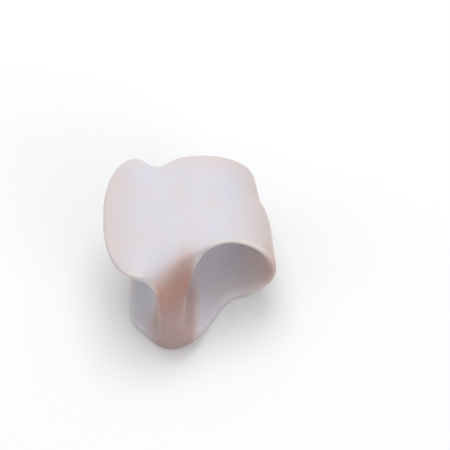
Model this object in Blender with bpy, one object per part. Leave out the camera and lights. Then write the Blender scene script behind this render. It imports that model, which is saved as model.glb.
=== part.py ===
"""Toe separator with a loop: one soft gel moulding, built as a single solid.

A closed loop stands beside a thick spacer, whose rounded nose reaches forward past it. On the
spacer's other side lies an open cradle, between a broad wing on top and a smaller lip underneath.

+X runs from the wing to the loop, +Y from the nose to the back, +Z from the flat sole up.
A section in XZ is laid out as faces and extruded, station by station, along Y. Each of its corners
runs from its own front to its own back, which gives the plan outline, with a station close inside
both ends to keep the edges evenly round. A Subdivision Surface modifier turns the closed cage into
the soft surface.
"""

import math

import bmesh
import bpy

MM = 0.001

# Loop
HOLE_WIDTH = 14.0 * MM
HOLE_HEIGHT = 15.2 * MM
HOLE_FLARE = 1.1 * MM
SIDE_WALL = 2.4 * MM
TOP_WALL = 2.7 * MM
SOLE_WALL = 2.6 * MM
RIM_THINNING = 0.4 * MM
LOOP_DEPTH = 18.5 * MM
LOOP_SKEW = math.radians(12.5)
TOP_SETBACK = 0.7 * MM
WAIST = 0.45 * MM
WAIST_PLACE = 0.74

# Spacer
NOSE_REACH = 11.5 * MM
NOSE_ROUND = 0.8 * MM
NOSE_FILLET = 2.6 * MM
SPACER_FRONT = 5.2 * MM
SPACER_BACK = 2.5 * MM
NOTCH_DEPTH = 3.2 * MM
NOTCH_SHIFT = 0.8 * MM
NOTCH_CREASE = 0.6
CRADLE_FILLET = 0.6 * MM

# Wing over the cradle
WING_REACH = 9.8 * MM
WING_ROOT = 2.8 * MM
WING_EDGE = 1.5 * MM
WING_DROOP = 2.0 * MM
WING_SETBACK = 4.7 * MM
WING_SHORT = 0.3 * MM
WING_ROUND = 6.6 * MM
WING_FRONT_ROUND = 10.4 * MM
WING_BACK_ROUND = 8.6 * MM

# Lip under the cradle
LIP_REACH = 5.1 * MM
LIP_ROOT = 2.7 * MM
LIP_EDGE = 1.6 * MM
LIP_SETBACK = 3.4 * MM
LIP_ROUND = 4.0 * MM

# Edges and surface
EDGE_ROUND = 1.1 * MM
INNER_STATIONS = (0.25, 0.5, 0.75)
SURFACE_LEVELS = 2

GEL_COLOUR = (0.74, 0.70, 0.75, 1.0)
GEL_ROUGHNESS = 0.45


# Places that follow from the sizes

TOP_Z = SOLE_WALL + HOLE_HEIGHT + TOP_WALL
HOLE_Z = SOLE_WALL + HOLE_HEIGHT / 2
LOOP_FRONT = NOSE_REACH
LOOP_BACK = LOOP_FRONT + LOOP_DEPTH
HOLE_RX = HOLE_WIDTH / 2
HOLE_RZ = HOLE_HEIGHT / 2

# The ring round the hole has this many columns, numbered from its free side over the top:
# 4 is the top, 6 and 7 the wing's root, 8 the cradle's wall, 9 and 10 the lip's root, 12 the sole
RING = 16
WING_ROOT_STEPS = (6, 7)
LIP_ROOT_STEPS = (9, 10)

# A smoothed ring of corners lies inside them, by this factor
CAGE_SWELL = 3 / (2 + math.cos(math.tau / RING))

# How far the front runs forward from the loop into the nose, as a share of its reach, and how far
# the back is cut in, as a share of the notch: by ring column, outside and in the hole
NOSE_OUTSIDE = {5: 0.20, 6: 0.55, 7: 0.80, 8: 0.98, 9: 1.0, 10: 1.0, 11: 0.90}
NOSE_HOLE = {5: 0.08, 6: 0.32, 7: 0.72, 8: 0.92, 9: 0.98, 10: 0.95, 11: 0.66}
NOTCH_OUTSIDE = {5: 0.1, 6: 1.0, 7: 1.0, 8: 0.9, 9: 0.8, 10: 0.7, 11: 0.3}
NOTCH_HOLE = {6: 0.3, 7: 0.6, 8: 0.8, 9: 0.8, 10: 0.5, 11: 0.2}

WING_SHARES = (0.20, 0.42, 0.67, 1 - EDGE_ROUND / WING_REACH, 1.0)
LIP_SHARES = (0.40, 1 - EDGE_ROUND / LIP_REACH, 1.0)

# How far the nose's fillet lowers a column at the front, as a share of the fillet: by ring column
# on the outside, and by the wing's columns
FILLET_OUTSIDE = {5: 0.15, 6: 0.9, 7: 0.6}
FILLET_WING = {WING_SHARES[0]: 0.3}


def between(a, b, share):
    return a + (b - a) * share


def rim(u):
    """1 at the front and back edges, falling away to 0 within a station or two."""
    return abs(2 * u - 1) ** 8


def nose_fillet(u):
    """The fillet from the top down over the nose: its full height at the front, none further back."""
    return NOSE_FILLET * max(0.0, 1 - u / INNER_STATIONS[0]) ** 2


def waist(u):
    """How far the loop's outer side is drawn in at a share of its depth."""
    return WAIST * max(0.0, 1 - abs(u - WAIST_PLACE) / (1 - WAIST_PLACE))


def ellipse_drop(distance, long_radius, cross_radius):
    """How far an elliptic corner falls back at a distance from its tip."""
    share = max(0.0, 1 - distance / long_radius)
    return cross_radius * (1 - math.sqrt(1 - share ** 2))


def hole_x(y):
    """Middle of the hole at depth y: the loop leans towards the wing as it runs back."""
    return HOLE_RX + (LOOP_FRONT - max(y, LOOP_FRONT)) * math.tan(LOOP_SKEW)


def cradle_x(y):
    """The cradle's wall at depth y. In front of the loop the spacer runs straight on."""
    share = max(0.0, (y - LOOP_FRONT) / LOOP_DEPTH)
    return hole_x(y) - HOLE_RX - between(SPACER_FRONT, SPACER_BACK, share)


def ring_corner(step, y, radius_x, radius_z):
    angle = math.tau * step / RING
    x = hole_x(y) + radius_x * CAGE_SWELL * math.cos(angle)
    z = HOLE_Z + radius_z * CAGE_SWELL * math.sin(angle)
    return x, z


def ring_front(step):
    """Front of the loop at a column: furthest back at the top."""
    return LOOP_FRONT + TOP_SETBACK * max(0.0, math.sin(math.tau * step / RING))


# Columns of the cage: each gives its front, its back, and its place at depth y and share u

def hole_column(step):
    def place(y, u):
        flare = HOLE_FLARE * rim(u)
        return ring_corner(step, y, HOLE_RX + flare, HOLE_RZ + flare)

    front = ring_front(step) - NOSE_REACH * NOSE_HOLE.get(step, 0.0)
    back = LOOP_BACK - NOTCH_DEPTH * NOTCH_HOLE.get(step, 0.0)
    return front, back, place


def outside_column(step):
    """The loop's outside, the spacer's shoulders, the cradle's wall and the sole."""
    def place(y, u):
        thinning = RIM_THINNING * rim(u)
        wall = cradle_x(y) + NOSE_ROUND * rim(u)
        shoulder = hole_x(y) - 0.8 * HOLE_RX
        lowering = nose_fillet(u) * FILLET_OUTSIDE.get(step, 0.0)
        side = SIDE_WALL - thinning
        if step in (0, 1, RING - 1):
            side -= waist(u)
        x, z = ring_corner(step, y, HOLE_RX + side, HOLE_RZ + TOP_WALL - thinning)
        places = {
            5: (shoulder, TOP_Z - thinning - lowering),
            6: (cradle_x(y) + NOTCH_SHIFT * u, TOP_Z - thinning - lowering),
            7: (wall - CRADLE_FILLET / 2, TOP_Z - WING_ROOT - CRADLE_FILLET - lowering),
            8: (wall, HOLE_Z),
            9: (wall - CRADLE_FILLET / 2, LIP_ROOT + CRADLE_FILLET),
            10: (wall, 0.0),
            11: (shoulder, 0.0),
            12: (x, 0.0),
            13: (x, 0.0),
        }
        return places.get(step, (x, z))

    front = ring_front(step) - NOSE_REACH * NOSE_OUTSIDE.get(step, 0.0)
    back = LOOP_BACK - NOTCH_DEPTH * NOTCH_OUTSIDE.get(step, 0.0)
    return front, back, place


def wing_column(share, is_top):
    def place(y, u):
        lowering = nose_fillet(u) * FILLET_WING.get(share, 0.0)
        top = TOP_Z - WING_DROOP * share ** 2 - lowering
        thickness = between(WING_ROOT, WING_EDGE, share)
        thinning = RIM_THINNING / 2 * rim(u)
        x = between(cradle_x(y), -SPACER_FRONT - WING_REACH, share)
        return x, top - thinning if is_top else top - thickness + thinning

    to_tip = (1 - share) * WING_REACH
    front = WING_SETBACK + ellipse_drop(to_tip, WING_ROUND, WING_FRONT_ROUND)
    back = LOOP_BACK - WING_SHORT - ellipse_drop(to_tip, WING_ROUND, WING_BACK_ROUND)
    return front, back, place


def lip_column(share, is_top):
    def place(y, u):
        top = between(LIP_ROOT, LIP_EDGE, share) - RIM_THINNING * rim(u)
        return between(cradle_x(y), -SPACER_FRONT - LIP_REACH, share), top if is_top else 0.0

    rounding = ellipse_drop((1 - share) * LIP_REACH, LIP_REACH, LIP_ROUND)
    return LIP_SETBACK + rounding, LOOP_BACK - LIP_SETBACK - rounding, place


def lay_out_section():
    """Columns by name, and the faces of the section as rounds of four names."""
    columns = {}
    faces = []
    for step in range(RING):
        columns["hole", step] = hole_column(step)
        columns["outside", step] = outside_column(step)
        after = (step + 1) % RING
        faces.append((("hole", step), ("outside", step), ("outside", after), ("hole", after)))

    for name, shares, maker, root in (
        ("wing", WING_SHARES, wing_column, WING_ROOT_STEPS),
        ("lip", LIP_SHARES, lip_column, LIP_ROOT_STEPS),
    ):
        above, below = (("outside", step) for step in root)
        for share in shares:
            columns[name, share, "top"] = maker(share, True)
            columns[name, share, "under"] = maker(share, False)
            faces.append((above, (name, share, "top"), (name, share, "under"), below))
            above, below = (name, share, "top"), (name, share, "under")
    return columns, faces


def corners_along(column):
    """A column's corners: its ends, an edge round inside them, and the inner stations."""
    front, back, place = column
    inner = [between(front, back, share) for share in INNER_STATIONS]
    depths = [front, front + EDGE_ROUND, *inner, back - EDGE_ROUND, back]
    corners = []
    for y in depths:
        x, z = place(y, (y - front) / (back - front))
        corners.append((x, y, z))
    return corners


def build_cage():
    """The section, extruded through the stations, as one closed cage."""
    columns, faces = lay_out_section()
    names = list(columns)
    runs = [corners_along(columns[name]) for name in names]
    cage = bmesh.new()
    which = cage.verts.layers.int.new("column")
    crease = cage.edges.layers.float.new("crease_edge")

    first = {}
    for number, name in enumerate(names):
        first[name] = cage.verts.new(runs[number][0])
        first[name][which] = number
    for face in faces:
        cage.faces.new([first[name] for name in face])
    section = cage.verts[:] + cage.edges[:] + cage.faces[:]

    for station in range(1, len(runs[0])):
        section = bmesh.ops.extrude_face_region(cage, geom=section)["geom"]
        for corner in (part for part in section if isinstance(part, bmesh.types.BMVert)):
            corner.co = runs[corner[which]][station]

    # The notch between wing and loop is nearly a V
    notch = {names.index(("outside", step)) for step in WING_ROOT_STEPS}
    for edge in (part for part in section if isinstance(part, bmesh.types.BMEdge)):
        if {corner[which] for corner in edge.verts} == notch:
            edge[crease] = NOTCH_CREASE

    bmesh.ops.recalc_face_normals(cage, faces=cage.faces[:])
    mesh = bpy.data.meshes.new("toe_separator")
    cage.to_mesh(mesh)
    cage.free()
    mesh.attributes.remove(mesh.attributes["column"])
    mesh.shade_smooth()
    return mesh


def make_gel():
    gel = bpy.data.materials.new("milky_gel")
    gel.use_nodes = True
    surface = gel.node_tree.nodes["Principled BSDF"]
    surface.inputs["Base Color"].default_value = GEL_COLOUR
    surface.inputs["Roughness"].default_value = GEL_ROUGHNESS
    surface.inputs["Metallic"].default_value = 0.0
    return gel


def centre_in_plan(separator):
    """The sole already lies in the ground plane; the finished outline is centred over the origin."""
    bpy.context.view_layer.update()
    finished = separator.evaluated_get(bpy.context.evaluated_depsgraph_get()).data
    for axis in (0, 1):
        values = [point.co[axis] for point in finished.vertices]
        middle = (min(values) + max(values)) / 2
        for corner in separator.data.vertices:
            corner.co[axis] -= middle
    separator.data.update()


def main():
    for leftover in list(bpy.data.objects):
        bpy.data.objects.remove(leftover, do_unlink=True)

    separator = bpy.data.objects.new("toe_separator", build_cage())
    bpy.context.scene.collection.objects.link(separator)
    separator.data.materials.append(make_gel())

    surface = separator.modifiers.new("soft_surface", "SUBSURF")
    surface.levels = SURFACE_LEVELS
    surface.render_levels = SURFACE_LEVELS
    centre_in_plan(separator)


main()
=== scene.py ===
"""Toe separator in soft, milky gel: finished surface, material and studio.

The finished body is a refined copy of the solid, with the side swell, the slow unevenness and the
fine stretch creases of a moulded gel. Everything is in metres: +X runs from the wing to the loop,
+Y from the nose to the back, and +Z up.
"""

import math

import bpy
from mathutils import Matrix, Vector


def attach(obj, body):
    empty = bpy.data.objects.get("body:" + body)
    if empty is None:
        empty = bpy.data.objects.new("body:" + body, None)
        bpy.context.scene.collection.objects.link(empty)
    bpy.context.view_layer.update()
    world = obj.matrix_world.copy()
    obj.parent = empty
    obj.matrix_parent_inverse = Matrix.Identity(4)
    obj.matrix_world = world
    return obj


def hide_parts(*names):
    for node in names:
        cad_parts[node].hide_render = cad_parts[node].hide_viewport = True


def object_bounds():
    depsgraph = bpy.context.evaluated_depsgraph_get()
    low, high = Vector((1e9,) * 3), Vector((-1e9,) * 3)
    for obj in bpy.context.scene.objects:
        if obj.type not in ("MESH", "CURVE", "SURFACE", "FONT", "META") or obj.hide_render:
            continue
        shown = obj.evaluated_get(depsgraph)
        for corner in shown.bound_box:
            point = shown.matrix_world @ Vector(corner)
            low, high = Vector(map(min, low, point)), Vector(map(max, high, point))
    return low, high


bl_info = {
    "name": "Gel Toe Separator",
    "version": (1, 0, 0),
    "blender": (4, 5, 0),
    "location": "View3D > Sidebar > Separator",
    "description": "Finishes a moulded gel toe separator and sets it in a plain studio",
    "category": "Object",
}

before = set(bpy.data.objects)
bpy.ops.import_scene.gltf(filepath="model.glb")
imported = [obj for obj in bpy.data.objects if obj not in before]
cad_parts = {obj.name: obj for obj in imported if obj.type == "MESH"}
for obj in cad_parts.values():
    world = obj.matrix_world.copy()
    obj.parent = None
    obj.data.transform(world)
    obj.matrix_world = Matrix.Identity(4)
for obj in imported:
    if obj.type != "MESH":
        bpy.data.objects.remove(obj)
CAD_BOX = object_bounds()
(LEFT, FRONT, _), (RIGHT, BACK, _) = CAD_BOX
SOLID = "toe_separator"

MM = 0.001
# Points lower than this lie in the flat sole and stay where they are
SOLE_BAND = 0.02 * MM


class SeparatorShape(bpy.types.PropertyGroup):
    """Sizes of the finished surface"""

    refinement: bpy.props.IntProperty(
        name="Refinement",
        description="Subdivisions of the solid's surface",
        default=2,
        min=0,
        max=3,
    )
    smoothing: bpy.props.IntProperty(
        name="Smoothing",
        description="Passes that even out the refined surface",
        default=10,
        min=0,
        max=40,
    )
    unevenness: bpy.props.FloatProperty(
        name="Unevenness",
        description="Depth of the slow waves that the mould leaves in soft gel",
        default=0.05 * MM,
        subtype="DISTANCE",
        unit="LENGTH",
    )
    wave_size: bpy.props.FloatProperty(
        name="Wave Size",
        description="Width of the slow waves",
        default=5.0 * MM,
        subtype="DISTANCE",
        unit="LENGTH",
    )
    side_swell: bpy.props.FloatProperty(
        name="Side Swell",
        description="How far the loop's outer side stands out in front of its kink",
        default=0.62 * MM,
        subtype="DISTANCE",
        unit="LENGTH",
    )
    kink_place: bpy.props.FloatProperty(
        name="Kink Place",
        description="Where the outer side's kink is, from the origin towards the back",
        default=8.75 * MM,
        subtype="DISTANCE",
        unit="LENGTH",
    )
    crease_depth: bpy.props.FloatProperty(
        name="Crease Depth",
        description="Depth of the fine stretch creases beside the kink",
        default=0.07 * MM,
        subtype="DISTANCE",
        unit="LENGTH",
    )
    crease_pitch: bpy.props.FloatProperty(
        name="Crease Pitch",
        description="Distance between stretch creases",
        default=0.75 * MM,
        subtype="DISTANCE",
        unit="LENGTH",
    )
    crease_place: bpy.props.FloatVectorProperty(
        name="Crease Place",
        description="Middle of the creased patch, high on the loop's outer side",
        default=(12.6 * MM, 7.6 * MM, 13.6 * MM),
        subtype="TRANSLATION",
        unit="LENGTH",
    )
    crease_reach: bpy.props.FloatProperty(
        name="Crease Reach",
        description="Radius of the creased patch",
        default=3.8 * MM,
        subtype="DISTANCE",
        unit="LENGTH",
    )


class GelColoursAndPaintedLight(bpy.types.PropertyGroup):
    """Colours and surface of the gel, with its painted shade, highlights and pinkish light"""

    body: bpy.props.FloatVectorProperty(
        name="Body",
        description="Cool milky white of the gel",
        default=(0.695, 0.692, 0.755),
        subtype="COLOR",
    )
    # Random pinker tone for the clouds, and painted pinkish light showing through the thin walls
    warm_tone_and_glow: bpy.props.FloatVectorProperty(
        name="Warm",
        description="Pinker tint of the thinner gel",
        default=(0.780, 0.652, 0.595),
        subtype="COLOR",
    )
    # Painted highlight on the thin edges
    highlit_edge: bpy.props.FloatVectorProperty(
        name="Rim",
        description="Paler tint of the thin edges",
        default=(1.000, 0.860, 0.760),
        subtype="COLOR",
    )
    # Painted shade in the inner corners
    corner_shade_colour: bpy.props.FloatVectorProperty(
        name="Deep",
        description="Tint of the gel in inner corners",
        default=(0.600, 0.520, 0.530),
        subtype="COLOR",
    )
    # Painted shade, lighter and beige, where it begins on the nose
    shade_onset: bpy.props.FloatVectorProperty(
        name="Dusk",
        description="Warm beige where the nose's tint begins",
        default=(0.725, 0.550, 0.440),
        subtype="COLOR",
    )
    # Painted shade and reflected pinkish light high on the nose
    nose: bpy.props.FloatVectorProperty(
        name="Nose",
        description="Reddish tint high on the nose",
        default=(0.496, 0.284, 0.228),
        subtype="COLOR",
    )
    nose_shade: bpy.props.FloatVectorProperty(
        name="Nose Shade",
        description="Darker tint high on the nose, towards the loop",
        default=(0.405, 0.217, 0.178),
        subtype="COLOR",
    )
    # Painted shade, greyer, low on the nose
    nose_shade_low: bpy.props.FloatVectorProperty(
        name="Nose Low",
        description="Greyer mauve low on the nose",
        default=(0.525, 0.362, 0.345),
        subtype="COLOR",
    )
    # Painted shade and reflected pinkish light at the front of the loop's outer side
    flank: bpy.props.FloatVectorProperty(
        name="Flank",
        description="Warm tint at the front of the loop's outer side",
        default=(0.650, 0.405, 0.310),
        subtype="COLOR",
    )
    glow: bpy.props.FloatVectorProperty(
        name="Glow",
        description="Peach light on edges that turn away",
        default=(1.000, 0.760, 0.600),
        subtype="COLOR",
    )
    roughness: bpy.props.FloatProperty(
        name="Roughness",
        description="Roughness of the dry gel",
        default=0.46,
        min=0.0,
        max=1.0,
        subtype="FACTOR",
    )
    translucency: bpy.props.FloatProperty(
        name="Translucency",
        description="Share of the light that spreads inside the gel",
        default=0.60,
        min=0.0,
        max=1.0,
        subtype="FACTOR",
    )
    bloom: bpy.props.FloatProperty(
        name="Bloom",
        description="Warm glow where the surface turns away",
        default=1.0,
        min=0.0,
        max=1.0,
        subtype="FACTOR",
    )
    spread: bpy.props.FloatProperty(
        name="Spread",
        description="How far light spreads inside the gel",
        default=2.6 * MM,
        subtype="DISTANCE",
        unit="LENGTH",
    )
    grain_size: bpy.props.FloatProperty(
        name="Grain Size",
        description="Size of the mould's fine grain",
        default=0.22 * MM,
        subtype="DISTANCE",
        unit="LENGTH",
    )


class StudioSettings(bpy.types.PropertyGroup):
    """Floor, lamps and camera"""

    floor: bpy.props.FloatVectorProperty(
        name="Floor",
        description="Colour of the floor as the camera sees it",
        default=(1.0, 1.0, 1.0),
        subtype="COLOR",
    )
    top_light: bpy.props.FloatProperty(
        name="Top Light",
        description="Power of the large soft lamp above",
        default=0.56,
        unit="POWER",
    )
    side_light: bpy.props.FloatProperty(
        name="Side Light",
        description="Power of the weak lamp at the left",
        default=0.12,
        unit="POWER",
    )
    front_light: bpy.props.FloatProperty(
        name="Front Light",
        description="Power of the weak lamp in front, to the right",
        default=0.28,
        unit="POWER",
    )
    fill: bpy.props.FloatProperty(
        name="Fill", description="Strength of the even light from all round", default=0.60
    )
    elevation: bpy.props.FloatProperty(
        name="Elevation",
        description="Camera's angle above the floor",
        default=math.radians(60.0),
        subtype="ANGLE",
        unit="ROTATION",
    )
    distance: bpy.props.FloatProperty(
        name="Distance",
        description="Camera's distance",
        default=1.40,
        subtype="DISTANCE",
        unit="LENGTH",
    )
    field: bpy.props.FloatProperty(
        name="Field",
        description="Width that the frame covers at the separator",
        default=81.0 * MM,
        subtype="DISTANCE",
        unit="LENGTH",
    )
    offset: bpy.props.FloatVectorProperty(
        name="Offset",
        description="The frame's middle, to the right of and above the separator's origin",
        default=(6.26 * MM, 10.22 * MM),
        size=2,
        subtype="TRANSLATION",
        unit="LENGTH",
    )


# Node tools

# The noise hardly ever leaves this range
NOISE_RANGE = (0.3, 0.7)
# The Mix node's sockets for colours
MIX_FIRST, MIX_SECOND, MIX_RESULT = 6, 7, 2


def link(tree, source, target):
    tree.links.new(source, target)


def add_node(tree, kind, label, **values):
    node = tree.nodes.new(kind)
    node.label = label
    for name, value in values.items():
        setattr(node, name, value)
    return node


def set_or_link(tree, socket, value, plain):
    """Links a socket where the value is one, and otherwise sets it to the plain value."""
    if isinstance(value, bpy.types.NodeSocket):
        link(tree, value, socket)
    else:
        socket.default_value = plain(value)


def soft_variation_group():
    """Noise between a low and a high value: cloudy colour, uneven roughness, fine grain."""
    name = "Soft Variation"
    if name in bpy.data.node_groups:
        return bpy.data.node_groups[name]
    group = bpy.data.node_groups.new(name, "ShaderNodeTree")
    face = group.interface
    face.new_socket("Place", in_out="INPUT", socket_type="NodeSocketVector")
    for label, default in (("Scale", 100.0), ("Detail", 2.0), ("Low", 0.0), ("High", 1.0)):
        socket = face.new_socket(label, in_out="INPUT", socket_type="NodeSocketFloat")
        socket.default_value = default
    face.new_socket("Value", in_out="OUTPUT", socket_type="NodeSocketFloat")

    entry = group.nodes.new("NodeGroupInput")
    leave = group.nodes.new("NodeGroupOutput")
    noise = add_node(group, "ShaderNodeTexNoise", "Cloud")
    for label, target in (("Place", "Vector"), ("Scale", "Scale"), ("Detail", "Detail")):
        link(group, entry.outputs[label], noise.inputs[target])
    spread = add_node(group, "ShaderNodeMapRange", "Low to high")
    spread.inputs["From Min"].default_value = NOISE_RANGE[0]
    spread.inputs["From Max"].default_value = NOISE_RANGE[1]
    link(group, noise.outputs["Fac"], spread.inputs["Value"])
    link(group, entry.outputs["Low"], spread.inputs["To Min"])
    link(group, entry.outputs["High"], spread.inputs["To Max"])
    link(group, spread.outputs["Result"], leave.inputs["Value"])
    return group


def variation(tree, place, label, *, scale, detail, low, high):
    node = add_node(tree, "ShaderNodeGroup", label)
    node.node_tree = soft_variation_group()
    link(tree, place, node.inputs["Place"])
    node.inputs["Scale"].default_value = scale
    node.inputs["Detail"].default_value = detail
    node.inputs["Low"].default_value = low
    node.inputs["High"].default_value = high
    return node.outputs["Value"]


def mix_colour(tree, label, factor, first, second):
    """A colour between two: each is a socket or a plain colour."""
    node = add_node(tree, "ShaderNodeMix", label, data_type="RGBA")
    link(tree, factor, node.inputs["Factor"])
    for number, value in ((MIX_FIRST, first), (MIX_SECOND, second)):
        set_or_link(tree, node.inputs[number], value, lambda colour: (*colour, 1.0))
    return node.outputs[MIX_RESULT]


def math_node(tree, label, operation, first, second):
    """A sum on two values: each is a socket or a plain number."""
    node = add_node(tree, "ShaderNodeMath", label, operation=operation)
    for socket, value in zip(node.inputs, (first, second)):
        set_or_link(tree, socket, value, float)
    return node.outputs[0]


def named_mask(tree, name):
    return add_node(tree, "ShaderNodeAttribute", name, attribute_name=name).outputs["Fac"]


def lay_over(tree, label, under, tint, mask, share):
    """A tint over another where a mask is, covering it by a share at most."""
    cover = math_node(tree, label + ", share", "MULTIPLY", mask, share)
    return mix_colour(tree, label, cover, under, tint)


# The gel

# How much of what lies underneath each painted glow, shade and highlight covers
THIN_GLOW_SHARE = 0.60
CORNER_SHADE_SHARE = 0.55
RIM_HIGHLIGHT_SHARE = 0.85
FLANK_SHADE_SHARE = 0.74

# The speckle's colour beside the body's
SPECK_TONE = 0.86

# How much smoother and rougher the gel is than its roughness, by handling
LESS_ROUGH = 0.07
MORE_ROUGH = 0.06
RIM_POLISH = 0.10

GRAIN_SHARE = 0.35
RELIEF_STRENGTH = 0.35
RELIEF_DEPTH = 0.02 * MM

# How far red, green and blue light spread inside the gel, as shares of its spread
SPREAD_BY_COLOUR = (1.0, 0.72, 0.66)


def gel_tint(tree, finish, place, nose, highlit_edge):
    """Cloudy white, with painted light and shade for each region laid over the one before it."""
    clouds = variation(
        tree, place, "Cloudy tint", scale=170.0, detail=2.0, low=0.0, high=0.38
    )
    tint = mix_colour(tree, "Clouds", clouds, finish.body, finish.warm_tone_and_glow)
    # Painted pinkish light showing through the thin walls
    thin = named_mask(tree, "thin_glow_mask")
    tint = lay_over(tree, "Thin walls", tint, finish.warm_tone_and_glow, thin, THIN_GLOW_SHARE)
    # Painted shade in the inner corners
    corner = named_mask(tree, "corner_shade_mask")
    tint = lay_over(tree, "Inner corners", tint, finish.corner_shade_colour, corner, CORNER_SHADE_SHARE)

    # Painted shade and reflected pinkish light down the nose: deeper towards the loop, greyer low
    # down, and beige where it begins
    low = named_mask(tree, "low_mask")
    shade = named_mask(tree, "shade_mask")
    nose_shade_tint = mix_colour(tree, "Towards the loop", shade, finish.nose, finish.nose_shade)
    nose_shade_tint = mix_colour(tree, "Nose tints", low, nose_shade_tint, finish.nose_shade_low)
    nose_shade_tint = mix_colour(tree, "Into the nose", nose, finish.shade_onset, nose_shade_tint)
    tint = mix_colour(tree, "Down the nose", nose, tint, nose_shade_tint)
    # Painted highlight along the thin edges
    tint = lay_over(tree, "Thin edges", tint, finish.highlit_edge, highlit_edge, RIM_HIGHLIGHT_SHARE)

    # Painted shade and reflected pinkish light at the front of the loop's outer side, redder low
    # down
    flank = named_mask(tree, "flank_shade_mask")
    flank_shade_tint = mix_colour(tree, "Flank tints", low, finish.flank, finish.nose)
    tint = lay_over(tree, "Front of the flank", tint, flank_shade_tint, flank, FLANK_SHADE_SHARE)

    speck = variation(
        tree, place, "Fine speckle", scale=2600.0, detail=1.0, low=0.0, high=0.10
    )
    speck_tint = tuple(SPECK_TONE * channel for channel in finish.body)
    return mix_colour(tree, "Speckle", speck, tint, speck_tint)


def gel_roughness(tree, finish, place, highlit_edge):
    """Uneven from handling, and smoother along the thin edges."""
    smear = variation(
        tree,
        place,
        "Handling",
        scale=320.0,
        detail=3.0,
        low=finish.roughness - LESS_ROUGH,
        high=finish.roughness + MORE_ROUGH,
    )
    polish = math_node(tree, "Polish", "MULTIPLY", highlit_edge, RIM_POLISH)
    return math_node(tree, "Rim polish", "SUBTRACT", smear, polish)


def gel_relief(tree, finish, place):
    """Soft dimples, with the mould's fine grain on them."""
    fine = variation(
        tree, place, "Mould grain", scale=1.0 / finish.grain_size, detail=2.0, low=0.0, high=1.0
    )
    dimples = variation(
        tree, place, "Soft dimples", scale=900.0, detail=1.0, low=0.0, high=1.0
    )
    grain = math_node(tree, "Grain", "MULTIPLY", fine, GRAIN_SHARE)
    height = math_node(tree, "Relief", "ADD", grain, dimples)
    bump = add_node(tree, "ShaderNodeBump", "Surface relief")
    bump.inputs["Strength"].default_value = RELIEF_STRENGTH
    bump.inputs["Distance"].default_value = RELIEF_DEPTH
    link(tree, height, bump.inputs["Height"])
    return bump.outputs["Normal"]


def make_gel(finish):
    """Milky, slightly translucent gel with a dry, finely grained surface, and painted shade,
    highlights and pinkish light in its colour.
    """
    gel = bpy.data.materials.new("milky_gel_finish")
    gel.use_nodes = True
    tree = gel.node_tree
    surface = tree.nodes["Principled BSDF"]
    place = add_node(tree, "ShaderNodeTexCoord", "Place on the part").outputs["Object"]
    # The nose's painted shade, which keeps the painted highlight of the thin edges off the nose
    nose = named_mask(tree, "nose_shade_mask")
    off_nose = math_node(tree, "Off the nose", "SUBTRACT", 1.0, nose)
    # Thin edges: painted highlight in the colour, and a smoother roughness
    highlit_edge = named_mask(tree, "highlit_edge_mask")
    highlit_edge = math_node(tree, "Rim off the nose", "MULTIPLY", highlit_edge, off_nose)

    link(tree, gel_tint(tree, finish, place, nose, highlit_edge), surface.inputs["Base Color"])
    link(tree, gel_roughness(tree, finish, place, highlit_edge), surface.inputs["Roughness"])
    link(tree, gel_relief(tree, finish, place), surface.inputs["Normal"])

    surface.inputs["Metallic"].default_value = 0.0
    surface.inputs["IOR"].default_value = 1.42
    surface.inputs["Specular IOR Level"].default_value = 0.42
    surface.inputs["Subsurface Weight"].default_value = finish.translucency
    surface.inputs["Subsurface Radius"].default_value = SPREAD_BY_COLOUR
    surface.inputs["Subsurface Scale"].default_value = finish.spread
    surface.inputs["Sheen Weight"].default_value = finish.bloom
    surface.inputs["Sheen Roughness"].default_value = 0.20
    surface.inputs["Sheen Tint"].default_value = (*finish.glow, 1.0)
    return gel


# Tools for the body

def select_only(piece):
    bpy.ops.object.select_all(action="DESELECT")
    piece.select_set(True)
    bpy.context.view_layer.objects.active = piece


def apply_modifier(piece, kind, name, **values):
    modifier = piece.modifiers.new(name, kind)
    for key, value in values.items():
        setattr(modifier, key, value)
    select_only(piece)
    bpy.ops.object.modifier_apply(modifier=name)


def weight_by_place(piece, name, weight):
    """A vertex group whose weights come from each point's place and the way it faces."""
    group = piece.vertex_groups.new(name=name)
    for point in piece.data.vertices:
        share = weight(point.co, point.normal)
        if share > 0.0:
            group.add([point.index], share, "REPLACE")


def smooth_step(start, full, value):
    """0 before the start, 1 past the full value, and smooth between. Full may be the lower one."""
    share = min(1.0, max(0.0, (value - start) / (full - start)))
    return share * share * (3.0 - 2.0 * share)


# Where the painted highlights, shades and pinkish light begin and are full. Bends are in 1/m,
# places in metres.

RIM_BEND = (460.0, 860.0)
CORNER_SHADE_BEND = (60.0, 330.0)
BEND_PASSES = 12

# Painted pinkish light showing through the thin gel at the wing's tip, the loop's outer side and
# the back
THIN_WING = (LEFT + 8 * MM, LEFT)
THIN_LOOP = (RIGHT - 9 * MM, RIGHT - 3 * MM)
THIN_BACK = (BACK - 5 * MM, BACK)

# The nose's painted shade begins on the top, along a slant from the wing to the loop: the slant
# runs through a place, the shade grows in a direction, and past a place along X the slant is
# square to Y
SLANT_THROUGH = (-7.2 * MM, FRONT + 5.2 * MM, 19.0 * MM)
SLANT_GROWTH = (0.69, -0.72, -0.15)
SLANT_END = -1.2 * MM
NOSE_PAST_SLANT = (-1.6 * MM, 3.6 * MM)
NOSE_FROM_LOOP = (2.4 * MM, 0.0)
NOSE_FROM_CRADLE = (-9.5 * MM, -5.2 * MM)

# Deeper painted shade towards the loop and the front, and its share; the painted shade on the nose
# and the flank changes tone between these heights
SHADE_ACROSS = (-5.0 * MM, -1.5 * MM)
SHADE_FORWARD = (FRONT + 8.5 * MM, FRONT + 5.0 * MM)
SHADE_SHARE = 0.65
LOW_DOWN = (15 * MM, 9.5 * MM)

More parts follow.
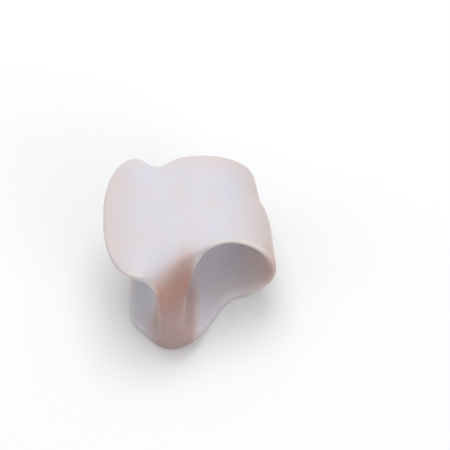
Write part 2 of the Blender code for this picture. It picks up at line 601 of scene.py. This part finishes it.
FLANK_SLANT = 0.2
FLANK_ACROSS = (RIGHT - 4 * MM, RIGHT - 1 * MM)
FLANK_FORWARD = (2 * MM, -5 * MM)


def measure_bend(mesh):
    """How sharply the surface bends at each point: above 0 on edges, below 0 in corners."""
    count = len(mesh.vertices)
    bend = [0.0] * count
    meetings = [0] * count
    for edge in mesh.edges:
        a, b = edge.vertices
        run = mesh.vertices[b].co - mesh.vertices[a].co
        length = run.length
        if length == 0.0:
            continue
        for point, direction in ((a, run), (b, -run)):
            bend[point] -= 2.0 * direction.dot(mesh.vertices[point].normal) / length ** 2
            meetings[point] += 1
    bend = [total / max(1, n) for total, n in zip(bend, meetings)]

    # Each pass takes the mean of a point and its neighbours
    pairs = [tuple(edge.vertices) for edge in mesh.edges]
    shares = [1] * count
    for a, b in pairs:
        shares[a] += 1
        shares[b] += 1
    for _ in range(BEND_PASSES):
        total = list(bend)
        for a, b in pairs:
            total[a] += bend[b]
            total[b] += bend[a]
        bend = [value / n for value, n in zip(total, shares)]
    return bend


def thin_glow_share(co):
    """Painted pinkish light through the thin gel: 1 at the wing's tip, on the loop's outer side
    and at the back edge.
    """
    return max(
        smooth_step(*THIN_WING, co.x), smooth_step(*THIN_LOOP, co.x), smooth_step(*THIN_BACK, co.y)
    )


def nose_shade_share(co):
    """Painted shade and reflected pinkish light: 1 down the spacer's front, from the slant on the
    top.
    """
    place = (min(co.x, SLANT_END), co.y, co.z)
    past_slant = sum(g * (p - t) for g, p, t in zip(SLANT_GROWTH, place, SLANT_THROUGH))
    forward = smooth_step(*NOSE_PAST_SLANT, past_slant)
    off_the_loop = smooth_step(*NOSE_FROM_LOOP, co.x)
    off_the_cradle = smooth_step(*NOSE_FROM_CRADLE, co.x)
    return forward * off_the_loop * off_the_cradle


def shade_share(co):
    """Deeper painted shade towards the loop and the nose's front."""
    return SHADE_SHARE * smooth_step(*SHADE_ACROSS, co.x) * smooth_step(*SHADE_FORWARD, co.y)


def low_share(co):
    return smooth_step(*LOW_DOWN, co.z)


def flank_shade_share(co):
    """Painted shade and reflected pinkish light at the front of the loop's outer side."""
    outer_side = smooth_step(*FLANK_ACROSS, co.x + FLANK_SLANT * co.y)
    return outer_side * smooth_step(*FLANK_FORWARD, co.y)


def store_masks(piece):
    """Masks for the painted light and shade: highlights on thin edges, shade in inner corners,
    pinkish light through thin walls, shade on the nose and the flank.
    """
    mesh = piece.data
    bend = measure_bend(mesh)
    masks = {
        "highlit_edge_mask": [smooth_step(*RIM_BEND, value) for value in bend],
        "corner_shade_mask": [smooth_step(*CORNER_SHADE_BEND, -value) for value in bend],
    }
    for name, share in (
        ("thin_glow_mask", thin_glow_share),
        ("nose_shade_mask", nose_shade_share),
        ("shade_mask", shade_share),
        ("low_mask", low_share),
        ("flank_shade_mask", flank_shade_share),
    ):
        masks[name] = [share(point.co) for point in mesh.vertices]
    for name, values in masks.items():
        layer = mesh.attributes.new(name, "FLOAT", "POINT")
        layer.data.foreach_set("value", values)


# The body

MERGE_DISTANCE = 0.001 * MM
QUAD_FACE_ANGLE = math.radians(60)
QUAD_SHAPE_ANGLE = math.radians(80)
SOLE_FACING = -0.99999
SOLE_FADE = 1.0 * MM
SMOOTH_FACTOR = 0.5

# The swell: where it begins and is full across the loop, from the nose to the back and up
SWELL_SLANT = 0.22
SWELL_ACROSS = (7.0 * MM, 12.5 * MM)
SWELL_FROM_FRONT = (-2 * MM, 7 * MM)
SWELL_UP = (SOLE_BAND, 4 * MM)
# It drops at the kink to a share that is larger on the shoulder, high up at the back
KINK_DROP = (0.3 * MM, -1.6 * MM)
SHARE_BEHIND = 0.23
SHOULDER_SHARE = 0.5
SHOULDER_UP = (12 * MM, 16 * MM)
SHOULDER_BACK = (8 * MM, 13 * MM)

PATCH_CUTS = 2
# The wood texture's bands lie this many of its units apart, square to the diagonal (1, 1, 1)
BANDS_PER_PITCH = 10.0 * math.sqrt(3.0) / math.tau
BAND_TURN = math.radians(45.0)
BAND_NOISE = 0.8
BAND_TURBULENCE = 9.0
CREASE_FACING = 0.3


def copy_solid(context):
    """A copy of the solid, with its loose triangles joined into quads."""
    body = bpy.data.objects.new("gel_body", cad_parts[SOLID].data.copy())
    context.scene.collection.objects.link(body)
    select_only(body)
    bpy.ops.object.mode_set(mode="EDIT")
    bpy.ops.mesh.select_mode(type="VERT")
    bpy.ops.mesh.select_all(action="SELECT")
    bpy.ops.mesh.remove_doubles(threshold=MERGE_DISTANCE)
    bpy.ops.mesh.customdata_custom_splitnormals_clear()
    bpy.ops.mesh.tris_convert_to_quads(
        face_threshold=QUAD_FACE_ANGLE, shape_threshold=QUAD_SHAPE_ANGLE
    )
    bpy.ops.object.mode_set(mode="OBJECT")
    return body


def hold_sole_outline(body):
    """Creases the sole's outline, so that it stays where it is while the rest is rounded."""
    outline = set()
    for face in body.data.polygons:
        if face.normal.z < SOLE_FACING:
            outline.symmetric_difference_update(face.edge_keys)
    crease = body.data.attributes.new("crease_edge", "FLOAT", "EDGE")
    for edge in body.data.edges:
        crease.data[edge.index].value = 1.0 if edge.key in outline else 0.0


def refine_patch(body, middle, reach):
    """Cuts the faces of the creased patch finely enough for its creases."""
    bpy.ops.object.mode_set(mode="EDIT")
    bpy.ops.mesh.select_mode(type="FACE")
    bpy.ops.mesh.select_all(action="DESELECT")
    bpy.ops.object.mode_set(mode="OBJECT")
    for face in body.data.polygons:
        face.select = (face.center - middle).length < reach and face.normal.x > 0.0
    bpy.ops.object.mode_set(mode="EDIT")
    bpy.ops.mesh.subdivide(number_cuts=PATCH_CUTS)
    bpy.ops.object.mode_set(mode="OBJECT")


def swell_share(co, kink):
    """How much of the swell the outer side takes: most before the kink, little behind it."""
    outer_side = smooth_step(*SWELL_ACROSS, co.x + SWELL_SLANT * co.y)
    shoulder = smooth_step(*SHOULDER_UP, co.z) * smooth_step(*SHOULDER_BACK, co.y)
    behind = SHARE_BEHIND + SHOULDER_SHARE * shoulder
    before = smooth_step(kink + KINK_DROP[0], kink + KINK_DROP[1], co.y)
    share = behind + (1.0 - behind) * before
    return share * outer_side * smooth_step(*SWELL_FROM_FRONT, co.y) * smooth_step(*SWELL_UP, co.z)


def swell_side(body, shape):
    """Draws the loop's outer side out in front of its kink."""
    kink = shape.kink_place
    weight_by_place(body, "swollen_side", lambda co, facing: swell_share(co, kink))
    apply_modifier(
        body,
        "DISPLACE",
        "swell",
        direction="X",
        strength=shape.side_swell,
        mid_level=0.0,
        vertex_group="swollen_side",
    )


def sink_waves(body, shape):
    """Sinks the surface in slow waves, except in the sole."""
    waves = bpy.data.textures.new("slow_waves", "CLOUDS")
    waves.noise_scale = shape.wave_size
    apply_modifier(
        body,
        "DISPLACE",
        "unevenness",
        texture=waves,
        strength=shape.unevenness,
        mid_level=1.0,
        vertex_group="off_the_sole",
    )


def sink_creases(body, shape, middle, context):
    """Sinks fine creases into the patch beside the kink, where it faces outwards."""
    weight_by_place(
        body,
        "creased_patch",
        lambda co, facing: smooth_step(shape.crease_reach, 0.0, (co - middle).length)
        * smooth_step(0.0, CREASE_FACING, facing.x),
    )
    creases = bpy.data.textures.new("stretch_creases", "WOOD")
    creases.wood_type = "BANDNOISE"
    creases.noise_scale = BAND_NOISE
    creases.turbulence = BAND_TURBULENCE
    guide = bpy.data.objects.new("crease_guide", None)
    context.scene.collection.objects.link(guide)
    guide.rotation_euler = (0.0, 0.0, BAND_TURN)
    guide.scale = (shape.crease_pitch * BANDS_PER_PITCH,) * 3
    context.view_layer.update()
    apply_modifier(
        body,
        "DISPLACE",
        "creases",
        texture=creases,
        texture_coords="OBJECT",
        texture_coords_object=guide,
        strength=shape.crease_depth,
        mid_level=1.0,
        vertex_group="creased_patch",
    )
    bpy.data.objects.remove(guide)


class SEPARATOR_OT_body(bpy.types.Operator):
    """Refine a copy of the solid into the finished gel body"""

    bl_idname = "separator.body"
    bl_label = "Add Gel Body"

    def execute(self, context):
        shape = context.scene.separator_shape
        body = copy_solid(context)
        hold_sole_outline(body)
        levels = shape.refinement
        apply_modifier(body, "SUBSURF", "fine_surface", levels=levels, render_levels=levels)
        middle = Vector(shape.crease_place)
        refine_patch(body, middle, shape.crease_reach)

        weight_by_place(
            body, "off_the_sole", lambda co, facing: smooth_step(SOLE_BAND, SOLE_FADE, co.z)
        )
        apply_modifier(
            body,
            "SMOOTH",
            "even_surface",
            factor=SMOOTH_FACTOR,
            iterations=shape.smoothing,
            vertex_group="off_the_sole",
        )
        swell_side(body, shape)
        sink_waves(body, shape)
        sink_creases(body, shape, middle, context)
        body.vertex_groups.clear()

        body.data.materials.clear()
        body.data.materials.append(make_gel(context.scene.gel_finish))
        select_only(body)
        bpy.ops.object.shade_smooth()
        store_masks(body)

        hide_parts(SOLID)
        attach(body, "root")
        return {"FINISHED"}


# The studio

FLOOR_SIZE = 4.0
# Just under the sole, so that the two planes don't flicker through each other
FLOOR_DROP = 0.02 * MM
FLOOR_ROUGHNESS = 0.85
FLOOR_GLOSS = 0.2
# The floor's darker patches beside its colour, and the colour that it gives back to the part
FLOOR_TONE = 0.95
FLOOR_BOUNCE = (0.50, 0.49, 0.48)
FILL_COLOUR = (0.95, 0.97, 1.0, 1.0)
LAMP_TARGET = (0.0, 0.0, 10.0 * MM)
SENSOR_WIDTH = 36.0


def make_floor_finish(studio):
    """Pale matt floor: the camera sees its full colour, and the part gets less light from it."""
    finish = bpy.data.materials.new("pale_floor")
    finish.use_nodes = True
    tree = finish.node_tree
    surface = tree.nodes["Principled BSDF"]
    place = add_node(tree, "ShaderNodeTexCoord", "Place on the floor").outputs["Object"]
    tone = variation(tree, place, "Paper tone", scale=40.0, detail=3.0, low=0.0, high=0.05)
    darker = tuple(FLOOR_TONE * channel for channel in studio.floor)
    seen = mix_colour(tree, "Floor", tone, studio.floor, darker)

    rays = add_node(tree, "ShaderNodeLightPath", "Who looks").outputs
    direct = math_node(
        tree, "Camera or mirror", "MAXIMUM", rays["Is Camera Ray"], rays["Is Glossy Ray"]
    )
    direct = math_node(tree, "Or through", "MAXIMUM", direct, rays["Is Transmission Ray"])
    colour = mix_colour(tree, "Bounce", direct, FLOOR_BOUNCE, seen)
    link(tree, colour, surface.inputs["Base Color"])
    surface.inputs["Roughness"].default_value = FLOOR_ROUGHNESS
    surface.inputs["Specular IOR Level"].default_value = FLOOR_GLOSS
    return finish


def add_floor(context, studio):
    bpy.ops.object.select_all(action="DESELECT")
    bpy.ops.mesh.primitive_plane_add(size=FLOOR_SIZE, location=(0.0, 0.0, -FLOOR_DROP))
    floor = context.object
    floor.name = "studio_floor"
    floor.data.materials.append(make_floor_finish(studio))


def add_world(context, studio):
    """An even light from all round, and a backdrop in the floor's colour for the camera."""
    world = bpy.data.worlds.new("studio_world")
    context.scene.world = world
    world.use_nodes = True
    tree = world.node_tree
    even = tree.nodes["Background"]
    even.inputs["Color"].default_value = FILL_COLOUR
    even.inputs["Strength"].default_value = studio.fill
    pale = add_node(tree, "ShaderNodeBackground", "Pale backdrop")
    pale.inputs["Color"].default_value = (*studio.floor, 1.0)
    rays = add_node(tree, "ShaderNodeLightPath", "Who looks")
    choice = add_node(tree, "ShaderNodeMixShader", "Backdrop or light")
    link(tree, rays.outputs["Is Camera Ray"], choice.inputs["Fac"])
    link(tree, even.outputs[0], choice.inputs[1])
    link(tree, pale.outputs[0], choice.inputs[2])
    link(tree, choice.outputs[0], tree.nodes["World Output"].inputs["Surface"])


def add_lamp(name, power, *, width, place):
    bpy.ops.object.light_add(type="AREA", location=place)
    lamp = bpy.context.object
    lamp.name = name
    lamp.data.energy = power
    lamp.data.shape = "DISK"
    lamp.data.size = width
    aim = Vector(LAMP_TARGET) - Vector(place)
    lamp.rotation_euler = aim.to_track_quat("-Z", "Y").to_euler()


def add_camera(context, studio):
    bpy.ops.object.camera_add()
    camera = context.object
    camera.name = "studio_camera"
    away = Vector((0.0, -math.cos(studio.elevation), math.sin(studio.elevation)))
    up = Vector((0.0, math.sin(studio.elevation), math.cos(studio.elevation)))
    middle = Vector((studio.offset[0], 0.0, 0.0)) + up * studio.offset[1]
    camera.location = middle + away * studio.distance
    camera.rotation_euler = (math.radians(90.0) - studio.elevation, 0.0, 0.0)
    camera.data.sensor_width = SENSOR_WIDTH
    camera.data.lens = SENSOR_WIDTH * studio.distance / studio.field
    camera.data.clip_start = 0.01
    camera.data.clip_end = 20.0
    context.scene.camera = camera


class SEPARATOR_OT_stage(bpy.types.Operator):
    """Add the floor, the world, the lamps and the camera"""

    bl_idname = "separator.stage"
    bl_label = "Add Studio"

    def execute(self, context):
        studio = context.scene.studio_settings
        add_floor(context, studio)
        add_world(context, studio)
        add_lamp("top_lamp", studio.top_light, width=0.26, place=(0.0, 0.14, 0.36))
        add_lamp("side_lamp", studio.side_light, width=0.20, place=(-0.34, -0.06, 0.24))
        add_lamp("front_lamp", studio.front_light, width=0.24, place=(0.26, -0.26, 0.20))
        add_camera(context, studio)
        context.scene.view_settings.view_transform = "Standard"
        return {"FINISHED"}


class SEPARATOR_PT_panel(bpy.types.Panel):
    """Lists the separator's operators and settings"""

    bl_idname = "SEPARATOR_PT_panel"
    bl_label = "Gel Toe Separator"
    bl_space_type = "VIEW_3D"
    bl_region_type = "UI"
    bl_category = "Separator"

    def draw(self, context):
        layout = self.layout
        scene = context.scene
        for settings, operator in (
            (scene.separator_shape, None),
            (scene.gel_finish, SEPARATOR_OT_body),
            (scene.studio_settings, SEPARATOR_OT_stage),
        ):
            box = layout.box()
            for name in settings.bl_rna.properties.keys():
                if name not in {"rna_type", "name"}:
                    box.prop(settings, name)
            if operator:
                box.operator(operator.bl_idname)


CLASSES = (
    SeparatorShape,
    GelColoursAndPaintedLight,
    StudioSettings,
    SEPARATOR_OT_body,
    SEPARATOR_OT_stage,
    SEPARATOR_PT_panel,
)


def register():
    for item in CLASSES:
        bpy.utils.register_class(item)
    bpy.types.Scene.separator_shape = bpy.props.PointerProperty(type=SeparatorShape)
    bpy.types.Scene.gel_finish = bpy.props.PointerProperty(type=GelColoursAndPaintedLight)
    bpy.types.Scene.studio_settings = bpy.props.PointerProperty(type=StudioSettings)


def unregister():
    del bpy.types.Scene.studio_settings
    del bpy.types.Scene.gel_finish
    del bpy.types.Scene.separator_shape
    for item in reversed(CLASSES):
        bpy.utils.unregister_class(item)


def main():
    register()
    bpy.ops.separator.body()
    bpy.ops.separator.stage()


if __name__ == "__main__":
    main()
